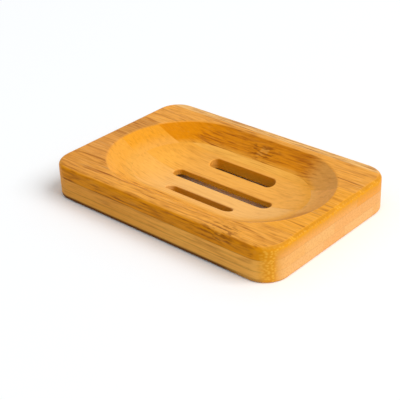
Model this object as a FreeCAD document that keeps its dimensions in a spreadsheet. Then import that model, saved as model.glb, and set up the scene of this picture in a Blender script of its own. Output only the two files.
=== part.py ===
import FreeCAD, Part
import math
import os
import Sketcher

# Soap dish of laminated bamboo, in millimetres.
# Flat strips are glued edge to edge into three plies, and the plies are glued into one board.
# The board is then routed: rounded outline, oval bowl, three drain slots, shallow hollow below.
# The origin is the middle of the underside, X runs along the grain and Z is up.

# Driving dimensions: alias, value, what it measures.
DIMENSIONS = (
    ("board_length", 120.0, "whole dish, along the grain"),
    ("board_width", 80.0, "whole dish, across the grain"),
    ("base_ply", 4.9, "thickness of the layer that stands on the table"),
    ("core_ply", 4.9, "thickness of the middle layer"),
    ("top_ply", 5.7, "thickness of the upper layer"),
    ("corner_radius", 10.5, "corners of the outline, in plan"),
    ("edge_round", 2.0, "rounding of the upper outer edges"),
    ("foot_ease", 1.0, "rounding of the lower outer edges"),
    ("end_border", 7.0, "flat top between the bowl and the ends of the board, on average"),
    ("side_border", 7.0, "flat top between the bowl and the sides of the board"),
    ("bowl_shift", 1.3, "bowl, to the right of the middle"),
    ("rim_ease", 0.8, "sanded edge of the bowl"),
    ("floor_thickness", 2.4, "wood left under the lowest line of the bowl"),
    ("slot_width", 5.6, "every drain slot"),
    ("long_slot", 52.5, "middle slot, end to end"),
    ("short_slot", 34.8, "front and back slots, end to end"),
    ("slot_pitch", 14.0, "from slot to slot, middle to middle"),
    ("slot_shift", 2.2, "slots, to the right of the middle"),
    ("slot_ease", 0.5, "sanded upper edge of the slots"),
    ("foot_width", 15.0, "border that the dish stands on, round the hollow"),
    ("recess_depth", 3.1, "hollow of the underside"),
    ("recess_corner", 8.0, "corners of the hollow, in plan"),
    ("seam_clearance", 2.0, "wood between a seam and the nearest edge of a cut"),
    ("overrun", 1.0, "how far a rough strip runs past the routed board"),
)

# Layers from the table up.
PLIES = ("base", "core", "top")

# Heights that differ by less than this share of a ply, or volumes by this share, are the same.
TOLERANCE_SHARE = 1e-6

# Sizes that follow from the driving dimensions.
BOARD_HEIGHT = "(dims.base_ply + dims.core_ply + dims.top_ply)"
BOWL_LENGTH = "(dims.board_length - 2 * dims.end_border)"
BOWL_WIDTH = "(dims.board_width - 2 * dims.side_border)"
BOWL_DEPTH = f"({BOARD_HEIGHT} - dims.recess_depth - dims.floor_thickness)"
BOWL_RADIUS = f"(({BOWL_WIDTH} ^ 2 / 4 + {BOWL_DEPTH} ^ 2) / (2 * {BOWL_DEPTH}))"
TROUGH_LENGTH = f"({BOWL_LENGTH} - {BOWL_WIDTH})"

# Half the width of the bowl where it leaves the upper layer.
BOWL_FOOT = f"sqrt({BOWL_RADIUS} ^ 2 - ({BOWL_RADIUS} - {BOWL_DEPTH} + dims.top_ply) ^ 2)"

# Seams of each layer from front to back, staggered from layer to layer and clear of the cuts.
RIM_SEAM = f"({BOWL_WIDTH} / 2 + dims.seam_clearance)"
FOOT_SEAM = f"({BOWL_FOOT} + dims.seam_clearance)"
SLOT_SEAM = "(dims.slot_pitch + dims.slot_width / 2 + dims.seam_clearance)"
RECESS_SEAM = "(dims.board_width / 2 - dims.foot_width + dims.seam_clearance)"
SEAMS = {
    "base": (f"-{RECESS_SEAM}", "-dims.slot_pitch / 2", "dims.slot_pitch / 2", RECESS_SEAM),
    "core": (f"-{SLOT_SEAM}", "0", SLOT_SEAM),
    "top": (
        f"-{FOOT_SEAM}",
        f"({RIM_SEAM} - 2 * {FOOT_SEAM}) / 3",
        f"(2 * {RIM_SEAM} - {FOOT_SEAM}) / 3",
        RIM_SEAM,
    ),
}

doc = FreeCAD.newDocument("soap_dish")
sheet = doc.addObject("Spreadsheet::Sheet", "dims")
for row, (alias, value, note) in enumerate(DIMENSIONS, start=1):
    sheet.set(f"A{row}", alias)
    sheet.set(f"B{row}", str(value))
    sheet.setAlias(f"B{row}", alias)
    sheet.set(f"C{row}", note)
doc.recompute()


def size(alias):
    return float(sheet.get(alias))


def bind(item, **expressions):
    for name, expression in expressions.items():
        item.setExpression(name, expression)


def place(item, x="0", y="0", z="0"):
    for axis, expression in (("x", x), ("y", y), ("z", z)):
        item.setExpression(f"Placement.Base.{axis}", expression)


# Sketches on the plane of the underside

def new_sketch(body, name):
    plane = next(item for item in body.Origin.OriginFeatures if item.Role == "XY_Plane")
    sketch = body.newObject("Sketcher::SketchObject", name)
    sketch.AttachmentSupport = [(plane, "")]
    sketch.MapMode = "FlatFace"
    return sketch


def dimension(sketch, name, rule, expression):
    index = sketch.addConstraint(rule)
    sketch.renameConstraint(index, name)
    sketch.setExpression(f"Constraints.{name}", expression)


def rectangle(sketch, length, width):
    """Rectangle about the origin, drawn as a unit square and sized by its constraints."""
    corners = [FreeCAD.Vector(x, y, 0) for x, y in ((-1, -1), (1, -1), (1, 1), (-1, 1))]
    for side in range(4):
        sketch.addGeometry(Part.LineSegment(corners[side], corners[(side + 1) % 4]))
    for side in range(4):
        sketch.addConstraint(Sketcher.Constraint("Coincident", side, 2, (side + 1) % 4, 1))
        sketch.addConstraint(Sketcher.Constraint(("Horizontal", "Vertical")[side % 2], side))
    sketch.addConstraint(Sketcher.Constraint("Symmetric", 0, 1, 1, 2, -1, 1))
    dimension(sketch, "long", Sketcher.Constraint("DistanceX", 0, 1, 0, 2, 1), length)
    dimension(sketch, "wide", Sketcher.Constraint("DistanceY", 1, 1, 1, 2, 1), width)


def round_ended_slot(sketch, name, length_alias, row):
    """Slot along X, in a row counted from the middle: two sides and two half circles."""
    first = sketch.GeometryCount
    radius = size("slot_width") / 2
    x = size(length_alias) / 2 - radius
    y = row * size("slot_pitch")
    up = FreeCAD.Vector(0, 0, 1)
    front = [FreeCAD.Vector(end, y - radius, 0) for end in (-x, x)]
    back = [FreeCAD.Vector(end, y + radius, 0) for end in (x, -x)]
    left, right = [Part.Circle(FreeCAD.Vector(end, y, 0), up, radius) for end in (-x, x)]
    sketch.addGeometry(Part.LineSegment(*front))
    sketch.addGeometry(Part.ArcOfCircle(right, -math.pi / 2, math.pi / 2))
    sketch.addGeometry(Part.LineSegment(*back))
    sketch.addGeometry(Part.ArcOfCircle(left, math.pi / 2, 3 * math.pi / 2))
    for side in range(4):
        rule = Sketcher.Constraint("Tangent", first + side, 2, first + (side + 1) % 4, 1)
        sketch.addConstraint(rule)
    sketch.addConstraint(Sketcher.Constraint("Symmetric", first + 1, 3, first + 3, 3, -2))
    rule = Sketcher.Constraint("Radius", first + 1, radius)
    dimension(sketch, f"{name}_radius", rule, "dims.slot_width / 2")
    rule = Sketcher.Constraint("DistanceX", first + 3, 3, first + 1, 3, 2 * x)
    dimension(sketch, f"{name}_reach", rule, f"dims.{length_alias} - dims.slot_width")
    if row == 0:
        sketch.addConstraint(Sketcher.Constraint("PointOnObject", first + 1, 3, -1))
    else:
        rule = Sketcher.Constraint("DistanceY", -1, 1, first + 1, 3, y)
        dimension(sketch, f"{name}_row", rule, f"{row} * dims.slot_pitch")


# The routed form: the shape that the glued board is cut to

def level(first, second):
    return abs(first - second) < TOLERANCE_SHARE * size("core_ply")


def flat(edge):
    return level(edge.BoundBox.ZMin, edge.BoundBox.ZMax)


def round_edges(body, name, wanted, radius):
    base = body.Tip
    edges = [f"Edge{number}" for number, edge in enumerate(base.Shape.Edges, start=1) if wanted(edge)]
    fillet = body.newObject("PartDesign::Fillet", name)
    fillet.Base = (base, edges)
    bind(fillet, Radius=radius)
    doc.recompute()


def block(body):
    sketch = new_sketch(body, "outline")
    rectangle(sketch, "dims.board_length", "dims.board_width")
    pad = body.newObject("PartDesign::Pad", "board")
    pad.Profile = sketch
    bind(pad, Length=BOARD_HEIGHT)
    doc.recompute()
    round_edges(body, "outline_corners", lambda edge: not flat(edge), "dims.corner_radius")
    round_edges(body, "lower_edges", lambda edge: level(edge.BoundBox.ZMax, 0), "dims.foot_ease")
    height = body.Tip.Shape.BoundBox.ZMax
    round_edges(body, "upper_edges", lambda edge: level(edge.BoundBox.ZMin, height), "dims.edge_round")


def bowl(body):
    """A round trough along X with a ball-shaped end at each side, and an eased rim."""
    height = f"{BOARD_HEIGHT} - {BOWL_DEPTH} + {BOWL_RADIUS}"
    trough = body.newObject("PartDesign::SubtractiveCylinder", "bowl_trough")
    trough.Placement.Rotation = FreeCAD.Rotation(FreeCAD.Vector(0, 1, 0), 90)
    bind(trough, Radius=BOWL_RADIUS, Height=TROUGH_LENGTH)
    place(trough, x=f"dims.bowl_shift - {TROUGH_LENGTH} / 2", z=height)
    for name, side in (("bowl_left_end", "-"), ("bowl_right_end", "+")):
        end = body.newObject("PartDesign::SubtractiveSphere", name)
        bind(end, Radius=BOWL_RADIUS)
        place(end, x=f"dims.bowl_shift {side} {TROUGH_LENGTH} / 2", z=height)
    doc.recompute()
    shape = body.Tip.Shape
    top = next(face for face in shape.Faces if level(face.BoundBox.ZMin, shape.BoundBox.ZMax))
    rim = [edge for wire in top.Wires if not wire.isSame(top.OuterWire) for edge in wire.Edges]
    round_edges(body, "bowl_rim", lambda edge: any(edge.isSame(side) for side in rim), "dims.rim_ease")


def cut_upwards(body, name, sketch, depth=None):
    """Cut the sketch into the underside, to a depth or right through."""
    before = body.Tip.Shape.Volume
    pocket = body.newObject("PartDesign::Pocket", name)
    pocket.Profile = sketch
    pocket.Reversed = True
    if depth:
        bind(pocket, Length=depth)
    else:
        pocket.Type = "ThroughAll"
    doc.recompute()
    if pocket.Shape.Volume >= before:
        raise RuntimeError(f"{name} cut nothing")


def recess(body):
    sketch = new_sketch(body, "recess_outline")
    rectangle(sketch, "dims.board_length - 2 * dims.foot_width", "dims.board_width - 2 * dims.foot_width")
    cut_upwards(body, "recess", sketch, "dims.recess_depth")
    roof = size("recess_depth")

    def upright(edge):
        return level(edge.BoundBox.ZMin, 0) and level(edge.BoundBox.ZMax, roof)

    round_edges(body, "recess_corners", upright, "dims.recess_corner")


def slots(body):
    sketch = new_sketch(body, "slot_outlines")
    sketch.setExpression("AttachmentOffset.Base.x", "dims.slot_shift")
    round_ended_slot(sketch, "front", "short_slot", -1)
    round_ended_slot(sketch, "middle", "long_slot", 0)
    round_ended_slot(sketch, "back", "short_slot", 1)
    cut_upwards(body, "slots", sketch)
    roof = size("recess_depth")
    walls = [face for face in body.Tip.Shape.Faces if level(face.BoundBox.ZMin, roof)]
    upper = [edge for wall in walls for edge in wall.Edges if not level(edge.BoundBox.ZMin, roof)]
    round_edges(body, "slot_edges", lambda edge: any(edge.isSame(side) for side in upper), "dims.slot_ease")


routed = doc.addObject("PartDesign::Body", "routed_form")
block(routed)
bowl(routed)
recess(routed)
slots(routed)


# The strips: rough lengths of bamboo, each cut to the routed form

LEFT = "-(dims.board_length / 2 + dims.overrun)"
RIGHT = "(dims.board_length / 2 + dims.overrun)"
FRONT = "-(dims.board_width / 2 + dims.overrun)"
BACK = "(dims.board_width / 2 + dims.overrun)"


def cut_strip(name, ply, sides, ends):
    """One strip between two sides, across the grain, and two ends, along it."""
    front, back = sides
    left, right = ends
    below = PLIES[:PLIES.index(ply)]
    rough = doc.addObject("Part::Box", f"{name}_rough")
    bind(rough, Length=f"{right} - ({left})", Width=f"{back} - ({front})", Height=f"dims.{ply}_ply")
    place(rough, x=left, y=front, z=" + ".join(f"dims.{layer}_ply" for layer in below) or "0")
    strip = doc.addObject("Part::Common", name)
    strip.Base = rough
    strip.Tool = routed
    doc.recompute()
    return strip


def lay_ply(ply):
    """One layer: strips between the seams. A strip that the bowl cuts through leaves its two ends."""
    lines = [FRONT, *SEAMS[ply], BACK]
    laid = []
    for number, sides in enumerate(zip(lines, lines[1:]), start=1):
        name = f"{ply}_strip_{number}"
        strip = cut_strip(name, ply, sides, (LEFT, RIGHT))
        if len(strip.Shape.Solids) == 1:
            laid.append(strip)
            continue
        rough = strip.Base.Name
        doc.removeObject(strip.Name)
        doc.removeObject(rough)
        laid.append(cut_strip(f"{name}_left", ply, sides, (LEFT, "0")))
        laid.append(cut_strip(f"{name}_right", ply, sides, ("0", RIGHT)))
    return laid


strips = [strip for ply in PLIES for strip in lay_ply(ply)]
doc.recompute()

for item in doc.Objects:
    if "Invalid" in item.State or "Error" in item.State:
        raise RuntimeError(f"{item.Label} did not build: {item.State}")
for strip in strips:
    shape = strip.Shape
    if shape.isNull() or not shape.isValid() or not shape.Solids:
        raise RuntimeError(f"{strip.Label} has no sound solid")
whole = routed.Shape.Volume
total = sum(strip.Shape.Volume for strip in strips)
if abs(total - whole) > TOLERANCE_SHARE * whole:
    raise RuntimeError(f"the strips hold {total:.3f}, the routed form {whole:.3f}")

os.makedirs("parts", exist_ok=True)
for strip in strips:
    strip.Shape.exportStep(f"parts/{strip.Label}.step")
    print(strip.Label, len(strip.Shape.Solids), round(strip.Shape.Volume, 1))
print("whole dish", round(whole, 1))
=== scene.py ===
import math
import bpy
from mathutils import Matrix, Vector


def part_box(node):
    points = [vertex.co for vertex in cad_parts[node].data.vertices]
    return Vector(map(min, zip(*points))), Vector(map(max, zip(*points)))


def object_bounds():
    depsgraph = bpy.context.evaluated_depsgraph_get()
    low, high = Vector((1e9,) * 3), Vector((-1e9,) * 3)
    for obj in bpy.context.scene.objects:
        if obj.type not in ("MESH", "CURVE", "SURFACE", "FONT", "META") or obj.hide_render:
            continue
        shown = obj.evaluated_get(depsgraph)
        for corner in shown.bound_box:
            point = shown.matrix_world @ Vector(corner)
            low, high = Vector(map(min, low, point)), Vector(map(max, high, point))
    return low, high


# Soap dish of laminated bamboo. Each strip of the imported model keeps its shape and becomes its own
# length of bamboo, drawn as a solid texture, so that streaks, end grain and knots meet on every face.

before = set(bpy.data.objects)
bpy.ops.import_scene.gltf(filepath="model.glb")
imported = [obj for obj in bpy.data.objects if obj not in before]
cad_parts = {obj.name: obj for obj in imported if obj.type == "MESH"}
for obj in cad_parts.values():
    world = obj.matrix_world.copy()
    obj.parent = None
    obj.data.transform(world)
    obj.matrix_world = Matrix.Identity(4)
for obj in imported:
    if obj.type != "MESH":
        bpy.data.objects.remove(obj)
cad_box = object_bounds()

MM = 0.001
# Outer faces of the dish, in mm from the middle of its foot
END_X, SIDE_Y, TOP_Z = (size / MM for size in cad_box[1])

# Node settings used often, and socket numbers: of a map range, its value, where the change starts and
# stops, and what it gives there; of a colour mix, its share, its two colours and its result
SMOOTH = {"interpolation_type": "SMOOTHSTEP"}
COLOUR = {"data_type": "RGBA"}
TIMES = {"operation": "MULTIPLY"}
TIMES_PLUS = {"operation": "MULTIPLY_ADD"}
MINUS = {"operation": "SUBTRACT"}
LARGER = {"operation": "MAXIMUM"}
UNSIGNED = {"operation": "ABSOLUTE"}
LENGTH = {"operation": "LENGTH"}
VALUE, START, STOP, AT_START, AT_STOP = range(5)
SHARE, BASE, OVER, MIXED = 0, 6, 7, 2

# Pattern of the bamboo in mm: how long each kind of mark is along the fibres, and how wide across
BROAD_BAND = (60, 5)
STREAK = (26, 1.3)
BREAK_IN_BUNDLE = (9, 1.4)
FINE_FIBRE = (12, 0.7)
MOTTLE = (5, 1.0)
BUNDLE_WIDTH = 1.1
WANDER = (30, 12)
WANDER_REACH = Vector((0, 1.3, 0.7))
SEED_STEP = 37.0
STREAK_STRENGTH = 0.6

# Places on the dish in mm: where a change starts, and where it is complete
UPPER_SKIN = (TOP_Z - 0.5, TOP_Z - 0.1)
END_ZONE = (END_X - 8, END_X - 3)
CREST_ZONE = (TOP_Z - 1.4, TOP_Z - 0.3)
AGED_ZONE = (TOP_Z - 4.6, TOP_Z - 1.2)
INSIDE_Y = (SIDE_Y - 4, SIDE_Y - 12)
INSIDE_X = (END_X - 4, END_X - 12)
SIDE_FACE = (SIDE_Y - 2, SIDE_Y - 1)
END_FACE = (END_X - 2, END_X - 1)
# height of the painted contact shadow along the lower edge, and where it fades towards the lit right end
CONTACT_SHADE_HEIGHT = (2.2, 1.2)
SHADE_FADE = (END_X - 26, END_X - 10)
GLUE_EDGE = (0.3, 0.05)
SEAM_CLEAR = 1.0

# Knots: how fast their fringe and their scar fade along each axis, per mm, and how ragged they are
FRINGE_FADE = (0.085, 0.17, 0.17)
SCAR_FADE = (0.4, 0.3, 0.3)
RAGGED_REACH, RAGGED_SCALE = 4.5, 0.35

# Glue: how strongly it shows between strips, and between layers on the sides and on the ends
STRIP_GLUE, SIDE_GLUE, END_GLUE = 0.06, 0.3, 0.1

# Colours that all strips share
DARK_FIBRE, PALE_FIBRE = "#9c4e08", "#ffc878"
END_GROUND, END_DOT, END_CREST = "#ea9608", "#ffb838", "#d28608"
AGED_END, SANDED_DOT = "#ee9e12", "#dc9448"
# painted shade inside the slots, and the painted contact shadow along the lower edge
SLOT_SHADE = "#d88f00"
CONTACT_SHADE = "#5a2c00"
KNOT_FRINGE, KNOT_SCAR = "#8a4804", "#f0aa48"
GLUE = "#8a5010"


def linear(code):
    """sRGB hex colour as linear red, green, blue and alpha."""
    values = [int(code[i:i + 2], 16) / 255 for i in (1, 3, 5)]
    return [v / 12.92 if v <= 0.04045 else ((v + 0.055) / 1.055) ** 2.4 for v in values] + [1.0]


def add(tree, kind, inputs=None, settings=None, output=0):
    """Add a node, set or link its inputs, and give back one of its outputs."""
    node = tree.nodes.new("ShaderNode" + kind)
    for name, value in (settings or {}).items():
        setattr(node, name, value)
    for key, value in (inputs or {}).items():
        if isinstance(value, bpy.types.NodeSocket):
            tree.links.new(value, node.inputs[key])
        else:
            node.inputs[key].default_value = value
    return node.outputs[output] if node.outputs else None


# Each strip: "upper" is its colour by the upper face and "lower" its colour deeper down, which shows
# on the walls of the bowl and on the front. "shades" change one of the two along an axis: which one,
# the axis, where the change starts and ends in mm, and the new colour. "end" is sanded end grain.
# "streaks": how strongly the fibres show by the upper face, and deeper. "knots": their middles in
# mm. "seed" is where the pattern starts.
STRIPS = {
    "base_strip_1": dict(lower="#f2a840", end="#fabc70", streaks=(0.4, 0.4), seed=3,
                         shades=(("lower", "X", -30, 30, "#ffba54"),)),
    "base_strip_2": dict(lower="#f0ac4c", end="#fabc74", streaks=(0.8, 0.8), seed=7,
                         knots=((-22, -17, 2),)),
    "base_strip_3": dict(lower="#eaa03c", end="#f8b66c", streaks=(0.7, 0.7), seed=12),
    "base_strip_4": dict(lower="#f0ae4c", end="#fabe76", streaks=(0.8, 0.8), seed=18,
                         knots=((30, 17, 2),)),
    "base_strip_5": dict(lower="#eaa23e", end="#f8b86c", streaks=(0.7, 0.7), seed=23),
    "core_strip_1": dict(lower="#f0a43e", end="#fab868", streaks=(0.6, 0.6), seed=29,
                         shades=(("lower", "X", -30, 30, "#ffb850"),
                                 ("lower", "Y", -30, -24, "#ffbc60"))),
    "core_strip_2": dict(lower="#ffb854", end="#fabc70", streaks=(0.3, 0.3), seed=34,
                         shades=(("lower", "X", -34, -12, "#fcbe6a"),
                                 ("lower", "Z", 7.5, 9.8, "#f8b04a"))),
    "core_strip_3": dict(lower="#ffb446", end="#f8b468", streaks=(0.45, 0.45), seed=41,
                         shades=(("lower", "X", -34, -12, "#fcb450"),
                                 ("lower", "Z", 7.5, 9.8, "#f8ac3c"))),
    "core_strip_4": dict(lower="#ffba50", end="#f8b468", streaks=(0.4, 0.4), seed=47,
                         shades=(("lower", "X", 12, 30, "#f6ae44"),)),
    "top_strip_1": dict(upper="#faac42", lower="#faac3c", end="#f6ac58", streaks=(1.0, 1.3), seed=52,
                        shades=(("upper", "X", -20, -48, "#e69a38"),
                                ("lower", "Y", -37, -38.5, "#ea9408")),
                        knots=((35, -38, 15),)),
    "top_strip_2": dict(upper="#ffae38", lower="#f6aa3c", end="#f8ae5a", streaks=(0.7, 0.3), seed=58,
                        shades=(("upper", "X", -20, -48, "#e89c40"),
                                ("lower", "X", -10, 30, "#da923e"),
                                ("lower", "Z", 12, 9.8, "#f4ae48"))),
    "top_strip_3_left": dict(upper="#e0983e", lower="#f6a426", end="#f8ae5a", streaks=(1.1, 0.3),
                             seed=64, shades=(("lower", "Z", 13, 9.8, "#fab04a"),)),
    "top_strip_3_right": dict(upper="#feac34", lower="#f2aa50", end="#f8ae5a", streaks=(0.8, 0.5),
                              seed=66, shades=(("lower", "Z", 12, 9.8, "#f6b258"),)),
    "top_strip_4": dict(upper="#f8aa42", lower="#e88e00", end="#f8a644", streaks=(0.95, 1.2), seed=70,
                        shades=(("lower", "X", -30, -5, "#e08a0c"),
                                ("lower", "X", 24, 36, "#e4a048"),
                                ("lower", "Z", 11, 9.8, "#f0a434")),
                        knots=((3, 27, 12),)),
    "top_strip_5": dict(upper="#fcc272", lower="#f0a440", end="#f6a440", streaks=(1.0, 0.9), seed=77),
}


def bamboo(name, lower, end, streaks, seed, upper=None, shades=(), knots=()):
    """Oiled laminated bamboo, sanded: satin, honey orange, with fibres along X that show as dark
    streaks on long faces and as dots where they are cut across."""
    material = bpy.data.materials.new("oiled_bamboo_" + name)
    material.use_nodes = True
    tree = material.node_tree
    tree.nodes.clear()

    # place in millimetres, and which way the surface faces
    place = add(tree, "TexCoord", output="Object")
    spot = add(tree, "VectorMath", {0: place, "Scale": 1 / MM}, {"operation": "SCALE"})
    x, y, z = (add(tree, "SeparateXYZ", {0: spot}, output=axis) for axis in "XYZ")
    outward = add(tree, "Math", {0: x}, UNSIGNED)
    breadth = add(tree, "Math", {0: y}, UNSIGNED)
    normal = add(tree, "NewGeometry", output="Normal")
    rightward = add(tree, "SeparateXYZ", {0: normal}, output="X")
    upward = add(tree, "SeparateXYZ", {0: normal}, output="Z")
    cut_across = add(tree, "Math", {0: rightward}, UNSIGNED)
    level = add(tree, "Math", {0: upward}, UNSIGNED)

    # the same place with the gentle wander of the fibres
    start = add(tree, "VectorMath", {0: spot, 1: [seed * SEED_STEP] * 3})
    long, wide = WANDER
    slow = add(tree, "VectorMath", {0: start, 1: (1 / long, 1 / wide, 1 / wide)}, TIMES)
    wander = add(tree, "TexNoise", {"Vector": slow, "Scale": 1.0, "Detail": 2.0}, output="Color")
    wander = add(tree, "VectorMath", {0: wander, 1: WANDER_REACH * 2, 2: -WANDER_REACH}, TIMES_PLUS)
    lie = add(tree, "VectorMath", {0: start, 1: wander})

    def fibres(mark, detail):
        """Noise drawn out along the fibres, for marks of the length and width given."""
        long, wide = mark
        drawn = add(tree, "VectorMath", {0: lie, 1: (1 / long, 1 / wide, 1 / wide)}, TIMES)
        return add(tree, "TexNoise", {"Vector": drawn, "Scale": 1.0, "Detail": detail}, output="Fac")

    broad = fibres(BROAD_BAND, 1.0)
    streak = add(tree, "MapRange", {VALUE: fibres(STREAK, 2.0), START: 0.44, STOP: 0.74}, SMOOTH)
    fine = fibres(FINE_FIBRE, 1.0)
    mottle = add(tree, "MapRange", {VALUE: fibres(MOTTLE, 2.0), START: 0.42, STOP: 0.75}, SMOOTH)
    # bundles of fibres, drawn about twice as coarse as real ones so that they show
    across = add(tree, "SeparateXYZ", {0: lie}, output="Y")
    height = add(tree, "SeparateXYZ", {0: lie}, output="Z")
    section = add(tree, "CombineXYZ", {0: across, 1: height})
    bundle = add(tree, "TexVoronoi", {"Vector": section, "Scale": 1 / BUNDLE_WIDTH, "Randomness": 0.9},
                 {"voronoi_dimensions": "2D"}, "Distance")
    bundle = add(tree, "MapRange", {VALUE: bundle, START: 0.15, STOP: 0.5, AT_START: 1.0, AT_STOP: 0.0},
                 SMOOTH)

    # colour through the strip
    top_skin = add(tree, "MapRange", {VALUE: z, START: UPPER_SKIN[0], STOP: UPPER_SKIN[1]}, SMOOTH)
    colours = {"upper": linear(upper or lower), "lower": linear(lower)}
    for part, axis, start_at, stop_at, shade in shades:
        along = {"X": x, "Y": y, "Z": z}[axis]
        share = add(tree, "MapRange", {VALUE: along, START: start_at, STOP: stop_at}, SMOOTH)
        colours[part] = add(tree, "Mix", {SHARE: share, BASE: colours[part], OVER: linear(shade)},
                            COLOUR, MIXED)
    wood = add(tree, "Mix", {SHARE: top_skin, BASE: colours["lower"], OVER: colours["upper"]},
               COLOUR, MIXED)

    # darker fibres, which come and go along the strip and show less where cut across, and pale ones
    patch = add(tree, "MapRange", {VALUE: broad, START: 0.3, STOP: 0.65, AT_START: 0.25}, SMOOTH)
    dark = add(tree, "Math", {0: streak, 1: patch}, TIMES)
    grit = add(tree, "MapRange", {VALUE: fine, START: 0.45, STOP: 0.75}, SMOOTH)
    dark = add(tree, "Math", {0: grit, 1: 0.5, 2: dark}, TIMES_PLUS)
    dark = add(tree, "Math", {0: mottle, 1: 0.45, 2: dark}, TIMES_PLUS)
    broken = add(tree, "MapRange", {VALUE: fibres(BREAK_IN_BUNDLE, 1.0), START: 0.45, STOP: 0.65,
                                    AT_STOP: 0.35}, SMOOTH)
    dark = add(tree, "Math", {0: bundle, 1: broken, 2: dark}, TIMES_PLUS)
    above, below = (STREAK_STRENGTH * strength for strength in streaks)
    strength = add(tree, "MapRange", {VALUE: top_skin, AT_START: below, AT_STOP: above})
    lengthwise = add(tree, "MapRange", {VALUE: cut_across, START: 0.08, STOP: 0.3, AT_START: strength,
                                        AT_STOP: 0.2}, SMOOTH)
    dark = add(tree, "Math", {0: dark, 1: lengthwise}, {"operation": "MULTIPLY", "use_clamp": True})
    wood = add(tree, "Mix", {SHARE: dark, BASE: wood, OVER: linear(DARK_FIBRE)}, COLOUR, MIXED)
    share = add(tree, "MapRange", {VALUE: top_skin, AT_START: 0.08, AT_STOP: 0.25})
    pale = add(tree, "MapRange", {VALUE: fine, START: 0.45, STOP: 0.2, AT_STOP: share}, SMOOTH)
    wood = add(tree, "Mix", {SHARE: pale, BASE: wood, OVER: linear(PALE_FIBRE)}, COLOUR, MIXED)

    # cut ends where rounded over: deep orange with dots, darker and worn in patches along the top
    outer = add(tree, "MapRange", {VALUE: outward, START: END_ZONE[0], STOP: END_ZONE[1]}, SMOOTH)
    rounded = add(tree, "MapRange", {VALUE: cut_across, START: 0.1, STOP: 0.5, AT_STOP: 0.8}, SMOOTH)
    rounded = add(tree, "Math", {0: rounded, 1: outer}, TIMES)
    dots = add(tree, "Mix", {SHARE: bundle, BASE: linear(END_GROUND), OVER: linear(END_DOT)},
               COLOUR, MIXED)
    crest = add(tree, "MapRange", {VALUE: z, START: CREST_ZONE[0], STOP: CREST_ZONE[1], AT_STOP: 0.8},
                SMOOTH)
    worn = add(tree, "MapRange", {VALUE: broad, START: 0.36, STOP: 0.5, AT_START: 0.3}, SMOOTH)
    crest = add(tree, "Math", {0: crest, 1: worn}, TIMES)
    dots = add(tree, "Mix", {SHARE: crest, BASE: dots, OVER: linear(END_CREST)}, COLOUR, MIXED)
    wood = add(tree, "Mix", {SHARE: rounded, BASE: wood, OVER: dots}, COLOUR, MIXED)

    # cut ends where sanded flat: pale, with faint dots, and more orange towards the top
    aged = add(tree, "MapRange", {VALUE: z, START: AGED_ZONE[0], STOP: AGED_ZONE[1]})
    flat = add(tree, "Mix", {SHARE: aged, BASE: linear(end), OVER: linear(AGED_END)}, COLOUR, MIXED)
    faint = add(tree, "Math", {0: bundle, 1: 0.3}, TIMES)
    flat = add(tree, "Mix", {SHARE: faint, BASE: flat, OVER: linear(SANDED_DOT)}, COLOUR, MIXED)
    sanded = add(tree, "MapRange", {VALUE: cut_across, START: 0.8, STOP: 0.99}, SMOOTH)
    sanded = add(tree, "Math", {0: sanded, 1: outer}, TIMES)
    wood = add(tree, "Mix", {SHARE: sanded, BASE: wood, OVER: flat}, COLOUR, MIXED)

    # walls of the slots, darkened with painted shade, less so at their left ends, which face the lamp
    upright = add(tree, "MapRange", {VALUE: level, START: 0.6, STOP: 0.2}, SMOOTH)
    inside = add(tree, "MapRange", {VALUE: breadth, START: INSIDE_Y[0], STOP: INSIDE_Y[1]}, SMOOTH)
    share = add(tree, "MapRange", {VALUE: rightward, START: 0.2, STOP: 0.9, AT_START: 0.9, AT_STOP: 0.2},
                SMOOTH)
    within = add(tree, "MapRange", {VALUE: outward, START: INSIDE_X[0], STOP: INSIDE_X[1],
                                    AT_STOP: share}, SMOOTH)
    slot_shade = add(tree, "Math", {0: upright, 1: inside}, TIMES)
    slot_shade = add(tree, "Math", {0: slot_shade, 1: within}, TIMES)
    wood = add(tree, "Mix", {SHARE: slot_shade, BASE: wood, OVER: linear(SLOT_SHADE)}, COLOUR, MIXED)

    # lower edge of the sides, darkened with a painted contact shadow, less so towards the right end,
    # which faces the lamp
    contact_shade = add(tree, "MapRange", {VALUE: z, START: CONTACT_SHADE_HEIGHT[0], STOP: CONTACT_SHADE_HEIGHT[1]}, SMOOTH)
    along_side = add(tree, "MapRange", {VALUE: breadth, START: SIDE_FACE[0], STOP: SIDE_FACE[1],
                                        AT_STOP: 0.92})
    contact_shade = add(tree, "Math", {0: contact_shade, 1: along_side}, TIMES)
    shade_fade = add(tree, "MapRange", {VALUE: x, START: SHADE_FADE[0], STOP: SHADE_FADE[1], AT_START: 1.0,
                                   AT_STOP: 0.4}, SMOOTH)
    contact_shade = add(tree, "Math", {0: contact_shade, 1: shade_fade}, TIMES)
    wood = add(tree, "Mix", {SHARE: contact_shade, BASE: wood, OVER: linear(CONTACT_SHADE)}, COLOUR, MIXED)

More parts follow.
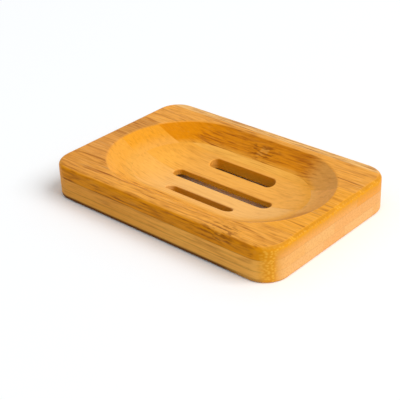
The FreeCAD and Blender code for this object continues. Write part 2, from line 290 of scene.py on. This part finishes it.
    # knots: a pale ragged scar in a patch of darker fibres
    for knot in knots:
        ragged = add(tree, "TexNoise", {"Vector": spot, "Scale": RAGGED_SCALE, "Detail": 3.0},
                     output="Color")
        ragged = add(tree, "VectorMath", {0: ragged, 1: [2 * RAGGED_REACH] * 3, 2: [-RAGGED_REACH] * 3},
                     TIMES_PLUS)
        away = add(tree, "VectorMath", {0: spot, 1: knot}, MINUS)
        away = add(tree, "VectorMath", {0: away, 1: ragged})
        fringe = add(tree, "VectorMath", {0: away, 1: FRINGE_FADE}, TIMES)
        fringe = add(tree, "VectorMath", {0: fringe}, LENGTH, "Value")
        fringe = add(tree, "MapRange", {VALUE: fringe, START: 1.0, STOP: 0.3, AT_STOP: 0.72}, SMOOTH)
        threads = add(tree, "MapRange", {VALUE: mottle, START: 0.05, STOP: 0.5, AT_START: 0.15}, SMOOTH)
        fringe = add(tree, "Math", {0: fringe, 1: threads}, TIMES)
        wood = add(tree, "Mix", {SHARE: fringe, BASE: wood, OVER: linear(KNOT_FRINGE)}, COLOUR, MIXED)
        scar = add(tree, "VectorMath", {0: away, 1: SCAR_FADE}, TIMES)
        scar = add(tree, "VectorMath", {0: scar}, LENGTH, "Value")
        scar = add(tree, "MapRange", {VALUE: scar, START: 1.0, STOP: 0.2, AT_STOP: 0.45}, SMOOTH)
        flecks = add(tree, "MapRange", {VALUE: mottle, START: 0.1, STOP: 0.7, AT_START: 1.0,
                                        AT_STOP: 0.2}, SMOOTH)
        scar = add(tree, "Math", {0: scar, 1: flecks}, TIMES)
        wood = add(tree, "Mix", {SHARE: scar, BASE: wood, OVER: linear(KNOT_SCAR)}, COLOUR, MIXED)

    # glue lines along the seams, those between layers only on the outside
    on_side = add(tree, "MapRange", {VALUE: breadth, START: SIDE_FACE[0], STOP: SIDE_FACE[1],
                                     AT_STOP: SIDE_GLUE})
    on_end = add(tree, "MapRange", {VALUE: outward, START: END_FACE[0], STOP: END_FACE[1],
                                    AT_STOP: END_GLUE})
    outside = add(tree, "Math", {0: on_side, 1: on_end}, LARGER)
    (_, front, under), (_, behind, over) = (Vector(corner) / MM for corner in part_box(name))
    seams = [(y, side, STRIP_GLUE) for side in (front, behind) if abs(side) < SIDE_Y - SEAM_CLEAR]
    seams += [(z, side, outside) for side in (under, over) if SEAM_CLEAR < side < TOP_Z - SEAM_CLEAR]
    for measure, seam, strength in seams:
        off = add(tree, "Math", {0: measure, 1: seam}, MINUS)
        off = add(tree, "Math", {0: off}, UNSIGNED)
        line = add(tree, "MapRange", {VALUE: off, START: GLUE_EDGE[0], STOP: GLUE_EDGE[1],
                                      AT_STOP: strength}, SMOOTH)
        wood = add(tree, "Mix", {SHARE: line, BASE: wood, OVER: linear(GLUE)}, COLOUR, MIXED)

    # fibres felt as fine grooves, and an oiled, satin surface
    relief = add(tree, "Math", {0: streak, 1: -0.5, 2: fine}, TIMES_PLUS)
    grooves = add(tree, "Bump", {"Strength": 0.35, "Distance": 0.05 * MM, "Height": relief})
    satin = add(tree, "MapRange", {VALUE: fine, START: 0.25, STOP: 0.75, AT_START: 0.38, AT_STOP: 0.5})
    shader = add(tree, "BsdfPrincipled", {"Base Color": wood, "Roughness": satin, "IOR": 1.45,
                                          "Specular IOR Level": 0.08, "Normal": grooves})
    add(tree, "OutputMaterial", {"Surface": shader})
    return material


for name, strip in STRIPS.items():
    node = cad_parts[name]
    node.data.materials.clear()
    node.data.materials.append(bamboo(name, **strip))


# Floor and light, in metres. Matt white paper and an even, faintly cool room: both show as plain
# white, and the light that they give back to the dish is set apart from that.

FLOOR_REACH = 1.5
PAPER, PAPER_SEEN = 0.82, 1.04
ROOM, ROOM_SEEN = 0.5, 1.0
ROOM_TINT = "#f8fcff"
LAMP_DISTANCE = 6.0
KEY_DIRECTION, KEY_SIDE, KEY_LEVEL = (0.61, 0.20, 0.77), 4.5, 0.76


def seen(tree):
    """One for rays that show the background: from the camera, a gloss or through glass."""
    camera_ray, glossy_ray, through_ray = (add(tree, "LightPath", output=f"Is {kind} Ray")
                                           for kind in ("Camera", "Glossy", "Transmission"))
    either = add(tree, "Math", {0: camera_ray, 1: glossy_ray}, LARGER)
    return add(tree, "Math", {0: either, 1: through_ray}, LARGER)


corners = [(x * FLOOR_REACH, y * FLOOR_REACH, 0) for x, y in ((-1, -1), (1, -1), (1, 1), (-1, 1))]
floor_mesh = bpy.data.meshes.new("floor")
floor_mesh.from_pydata(corners, [], [(0, 1, 2, 3)])
floor = bpy.data.objects.new("floor", floor_mesh)
bpy.context.collection.objects.link(floor)
paper = bpy.data.materials.new("matt_white_paper")
paper.use_nodes = True
tree = paper.node_tree
tree.nodes.clear()
white = add(tree, "Mix", {0: seen(tree), 2: PAPER, 3: PAPER_SEEN})
matt = add(tree, "BsdfDiffuse", {"Color": white})
add(tree, "OutputMaterial", {"Surface": matt})
floor_mesh.materials.append(paper)

world = bpy.data.worlds.new("studio")
bpy.context.scene.world = world
world.use_nodes = True
tree = world.node_tree
tree.nodes.clear()
level = add(tree, "Mix", {0: seen(tree), 2: ROOM, 3: ROOM_SEEN})
tint = add(tree, "Mix", {SHARE: seen(tree), BASE: linear(ROOM_TINT), OVER: linear("#ffffff")},
           COLOUR, MIXED)
sky = add(tree, "Background", {"Color": tint, "Strength": level})
add(tree, "OutputWorld", {"Surface": sky})


def softbox(name, direction, side, level):
    """Square lamp that lights a white card facing it to the level given, where 1 is white."""
    lamp = bpy.data.lights.new(name, "AREA")
    lamp.shape = "SQUARE"
    lamp.size = side
    lamp.energy = level * (math.pi * LAMP_DISTANCE) ** 2
    item = bpy.data.objects.new(name, lamp)
    bpy.context.collection.objects.link(item)
    way = Vector(direction).normalized()
    item.location = way * LAMP_DISTANCE
    item.rotation_euler = way.to_track_quat("Z", "Y").to_euler()


softbox("key", KEY_DIRECTION, KEY_SIDE, KEY_LEVEL)

# Camera at the photograph's viewing angle

IMAGE_SIDE = 400
FOCAL_PX = 1023.7
AZIMUTH, ELEVATION, ROLL = (math.radians(angle) for angle in (42.84, 29.40, -2.53))
DISTANCE = 433.0 * MM
TARGET = Vector((-4.78, -5.62, 0)) * MM
NEAREST = 0.01

aside, ahead = math.sin(AZIMUTH), -math.cos(AZIMUTH)
back = Vector((aside * math.cos(ELEVATION), ahead * math.cos(ELEVATION), math.sin(ELEVATION)))
right = (-back).cross(Vector((0, 0, 1))).normalized()
up = right.cross(-back)
right, up = (right * math.cos(ROLL) + up * math.sin(ROLL), up * math.cos(ROLL) - right * math.sin(ROLL))
lens = bpy.data.cameras.new("camera")
lens.lens = FOCAL_PX / IMAGE_SIDE * lens.sensor_width
lens.clip_start = NEAREST
camera = bpy.data.objects.new("camera", lens)
bpy.context.collection.objects.link(camera)
turn = Matrix((right, up, back)).transposed().to_4x4()
camera.matrix_world = Matrix.Translation(TARGET + back * DISTANCE) @ turn
bpy.context.scene.camera = camera
bpy.context.scene.view_settings.view_transform = "Standard"
